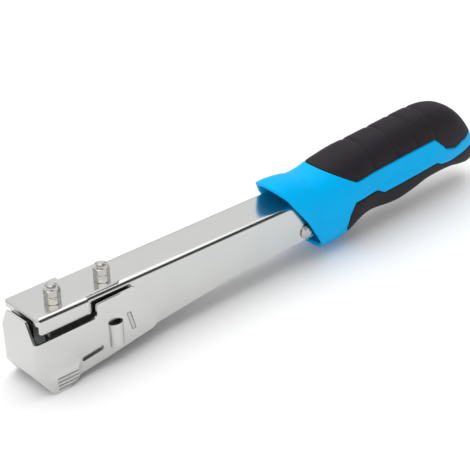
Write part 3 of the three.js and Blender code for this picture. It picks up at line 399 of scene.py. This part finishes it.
# %% Lines of the grid
UPPER_EDGE = np.array([(13, 20.6), (36.5, 20.6), (106, 24.6), (117.5, 14), (126, 11.8), (139, 15), (170, 24)]).T
LOWER_EDGE = np.array([(20, 8.3), (35, 8.3), (55, 9), (61.5, 4.9), (109, 7.9), (114.5, 4.9), (123, 4), (137, 6.5), (170, 12)]).T
RIM = np.array([(45, -21), (33, -20.5), (30, -18), (26, -14.5), (19.7, -10.7), (14, -6.4), (6, -0.5), (0, 3), (-9, 9), (-16, 14), (-24, 18)][::-1]).T
RAKE = np.array([(20.6, 36.5), (34, 14), (60, 13)]).T          # front edge of the upper grip: w, then u
CHIN = np.array([(-26, 39), (-17, 36.5), (-8, 29.5), (1, 30.8), (8.3, 35), (60, 36)]).T   # front edge of the lower grip


LOWER_PART, UPPER_PART = 0.4, 0.6      # columns up to the first lie on the lower grip, from the second on the upper
COLLAR_PART = 0.3                      # rows up to this one lie on the collar


def front_line(u_of_w, t):
    """For each column, the u at which its point on the surface lies on a side-view line: bisection on u minus the line's u."""
    low, high = np.full(t.shape, -30.0), np.full(t.shape, 60.0)
    for _ in range(40):
        u = (low + high) / 2
        w = on_surface(u, column_angle(u, t))[..., 2]
        past = u > np.interp(w, *u_of_w)
        high, low = np.where(past, u, high), np.where(past, low, u)
    return u


def column_angle(u, t):
    """Angle of column t at u: t runs 0 to 1 from the bottom to the top."""
    lower = angle_at(u, np.interp(u, *LOWER_EDGE))
    upper = np.maximum(angle_at(u, np.interp(u, *UPPER_EDGE)), lower)
    a = np.interp(t, [0, LOWER_PART], [0, 1]) * (lower + math.pi / 2) - math.pi / 2
    b = np.clip((t - LOWER_PART) / (UPPER_PART - LOWER_PART), 0, 1) * (upper - lower)
    c = np.clip((t - UPPER_PART) / (1 - UPPER_PART), 0, 1) * (math.pi / 2 - upper)
    return a + b + c


def place(s, t, out=0.0):
    """Grid place to surface: s 0 to 0.3 goes from the rim to the front edges of the grips, 0.3 to 1 from there to the tail.
    t runs -1 to 1 round the section, negative on the near side, 0 at the bottom and 1 or -1 on top."""
    s, t = np.broadcast_arrays(np.asarray(s, float), np.asarray(t, float))
    k = np.abs(t)
    rim = front_line(RIM, k)
    grips = np.where(k >= UPPER_PART, front_line(RAKE, np.maximum(k, UPPER_PART)), 0)
    chin = front_line(CHIN, np.minimum(k, LOWER_PART))
    join = np.interp(k, [LOWER_PART, UPPER_PART], [0, 1])
    front = np.where(k >= UPPER_PART, grips, np.where(k <= LOWER_PART, chin, 35 + 1.5 * join))
    behind = (s - COLLAR_PART) / (1 - COLLAR_PART)
    u = np.where(s < COLLAR_PART, rim + (front - rim) * s / COLLAR_PART, front + (TAIL - front) * behind)
    angle = column_angle(u, k)
    points = on_surface(u, angle, out)
    points[..., 1] *= np.where(t < 0, -1, 1)
    return points, u, angle


# %% [markdown]
# ## Blue body
# The outer surface goes from the tail to the collar's rim, turns round the rim's rounded lip and runs back inside as
# the mouth that the arm enters. The beds of the grips are pressed in, and a shallow slanted panel is pressed into
# the stripe on each side.

# %% Make the blue body
PANEL = np.array([(60.5, 10.6), (66.5, 17.8), (103.5, 19.8), (98.5, 11.2)])


def inside_by(u, w, corners):
    """How far a side-view place is inside a convex outline: the least distance to its edges, negative outside."""
    edge = np.roll(corners, -1, 0) - corners
    inward = np.stack([edge[:, 1], -edge[:, 0]], -1) / np.linalg.norm(edge, axis=1)[:, None]
    return np.min([(u - c[0]) * n[0] + (w - c[1]) * n[1] for c, n in zip(corners, inward)], axis=0)


def dip(t):
    """Smooth step from 0 to 1 while t goes from 0 to 1."""
    t = np.clip(t, 0, 1)
    return t * t * (3 - 2 * t)


EPS = 0.004                            # width of the step at a bed's edge, as a share of the half section
BED_DEPTH, PANEL_DEPTH, DIMPLE_DEPTH = 1.1, 0.45, 0.5
column = np.concatenate([
    np.linspace(0, LOWER_PART - 2 * EPS, 20), [LOWER_PART - EPS, LOWER_PART],
    np.linspace(LOWER_PART, UPPER_PART, 16)[1:-1],
    [UPPER_PART, UPPER_PART + EPS], np.linspace(UPPER_PART + 2 * EPS, 1, 22)])
ring = np.concatenate([-column[::-1][:-1], column[:-1]])       # once round, starting on top of the near side
row = np.concatenate([np.linspace(0.0, 0.3 - 0.003, 34), [0.3, 0.303], np.linspace(0.309, 0.97, 104), np.linspace(0.975, 1, 12)])
S, T = np.meshgrid(row, ring, indexing="ij")
points, u, angle = place(S, T)
under_grip = (np.abs(T) < LOWER_PART - EPS / 2) | (np.abs(T) > UPPER_PART + EPS / 2)
bed = np.where((S > COLLAR_PART + 0.0015) & under_grip, 1.0, 0.0)
panel = dip(inside_by(u, points[..., 2], PANEL) / 0.7)
dimple = np.exp(-((u - 3) ** 2 + (np.abs(points[..., 1]) - 9) ** 2) / 4) * (points[..., 2] > 10)
out = -BED_DEPTH * bed - PANEL_DEPTH * panel * (1 - bed) - DIMPLE_DEPTH * dimple
points, u, angle = place(S, T, out)
# Lip and mouth: an inset copy of the collar, run backwards from the rim.
WALL = 2.4
inner_rows = np.linspace(0, 0.24, 14)
SI, TI = np.meshgrid(inner_rows, ring, indexing="ij")
inner = place(SI, TI, -WALL)[0]
lip_out, lip_in = place(0 * ring, ring, 0)[0], place(0 * ring, ring, -WALL)[0]
forward = np.array([-1.0, 0, 0.0]) * WALL / 2
turns = np.linspace(0, math.pi, 7)[1:-1, None, None]
lip = (lip_out + lip_in) / 2 + np.cos(turns) * (lip_out - lip_in) / 2 + np.sin(turns) * forward * 0.5
grid = np.concatenate([points[::-1], lip, inner])
tail_pole = np.broadcast_to([TAIL + 0.9, 0, -1.0], (1, len(ring), 3))
floor_of_mouth = np.broadcast_to(inner[-1].mean(0), (1, len(ring), 3))
grid = np.concatenate([tail_pole, grid, floor_of_mouth])


def finish_piece(name, body, material, replaced, points_in_arm, close_v=True, merge=0.02):
    """Arm axes to the frame, a mesh from the grid, doubles merged, faces turned outwards."""
    mesh = grid_mesh(name, from_arm(points_in_arm[..., 0], points_in_arm[..., 1], points_in_arm[..., 2]), close_v=close_v)
    shape = bmesh.new()
    shape.from_mesh(mesh)
    bmesh.ops.remove_doubles(shape, verts=shape.verts, dist=merge * MM)
    bmesh.ops.dissolve_degenerate(shape, dist=merge * MM * 0.5, edges=shape.edges)
    bmesh.ops.recalc_face_normals(shape, faces=shape.faces)
    shape.to_mesh(mesh)
    shape.free()
    made = add_object(name, mesh)
    mesh.materials.append(material)
    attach(made, body)
    if replaced:
        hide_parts(*replaced)
    return made


blue_body = finish_piece("blue_handle_body", "arm", blue, ["handle_body"], grid)
print("blue body:", len(blue_body.data.polygons), "faces")

# %% [markdown]
# ## Black grips
# Each grip is the part of the same grid inside its edges. It is flush with the body and its edge rolls down into
# the bed, so that a thin dark line runs round it. Four shallow grooves cross the upper grip for the fingers.

# %% Make the grips


def edge_distance(points):
    """Distance over the surface from the front row and from the first and last column, the least of the three."""
    across = np.concatenate([np.zeros((points.shape[0], 1)), np.cumsum(np.linalg.norm(np.diff(points, axis=1), axis=2), axis=1)], 1)
    along = np.concatenate([np.zeros((1, points.shape[1])), np.cumsum(np.linalg.norm(np.diff(points, axis=0), axis=2), axis=0)], 0)
    return np.minimum(np.minimum(across, across[:, -1:] - across), along)


near_edge = np.array([0, 0.0015, 0.004, 0.008, 0.013, 0.02, 0.03, 0.045])
half = np.concatenate([near_edge, np.linspace(0.07, 1, 30)])
span = np.concatenate([half - 1, (1 - half)[::-1][1:]])          # -1 at the near edge, 0 in the middle, 1 at the far edge
front_rows = 0.3 + np.array([0, 0.001, 0.0025, 0.0045, 0.007, 0.01])
grip_rows = np.concatenate([front_rows, np.linspace(0.314, 0.97, 150), np.linspace(0.974, 1, 16)])
GROOVES = [51, 71, 89, 105]
GROOVE_DEPTH, GROOVE_SPREAD = 0.95, 1.6     # shallower than the grip is thick over its bed
SEAM = 0.006                                # room for the dark line between body and grip
EDGE_ROLL = 0.8


def make_grip(name, replaced, upper):
    S, T = np.meshgrid(grip_rows, span, indexing="ij")
    side = np.where(T < 0, -1, 1)
    k = (LOWER_PART - SEAM) * np.abs(T)
    if upper:
        k = 1 - k
    rows = np.minimum(S + 0.0025, 1)
    points, u, angle = place(rows, side * k)
    d = edge_distance(points)
    roll = np.clip(d / EDGE_ROLL, 0, 1)
    out = -1.0 + 1.1 * np.sqrt(1 - (1 - roll) ** 2)
    if upper:
        for g in GROOVES:
            across = u - g - 3 * (1 - np.sin(np.abs(angle)))
            groove = np.exp(-(across / GROOVE_SPREAD) ** 2) * dip(d / 6) * (points[..., 2] > 22)
            out = out - GROOVE_DEPTH * groove
    points = place(rows, side * k, out)[0]
    pole = np.broadcast_to([TAIL + 1.0, 0, -1.0], (1, points.shape[1], 3))
    if not upper:
        points = np.concatenate([points, pole])
    return finish_piece(name, "arm", grip_black, replaced, points, close_v=False, merge=0.01)


upper_grip = make_grip("soft_upper_grip", ["upper_grip"], True)
lower_grip = make_grip("soft_lower_grip", ["lower_grip"], False)
print("grips:", len(upper_grip.data.polygons), len(lower_grip.data.polygons), "faces")

# %% Finish
bpy.context.view_layer.update()
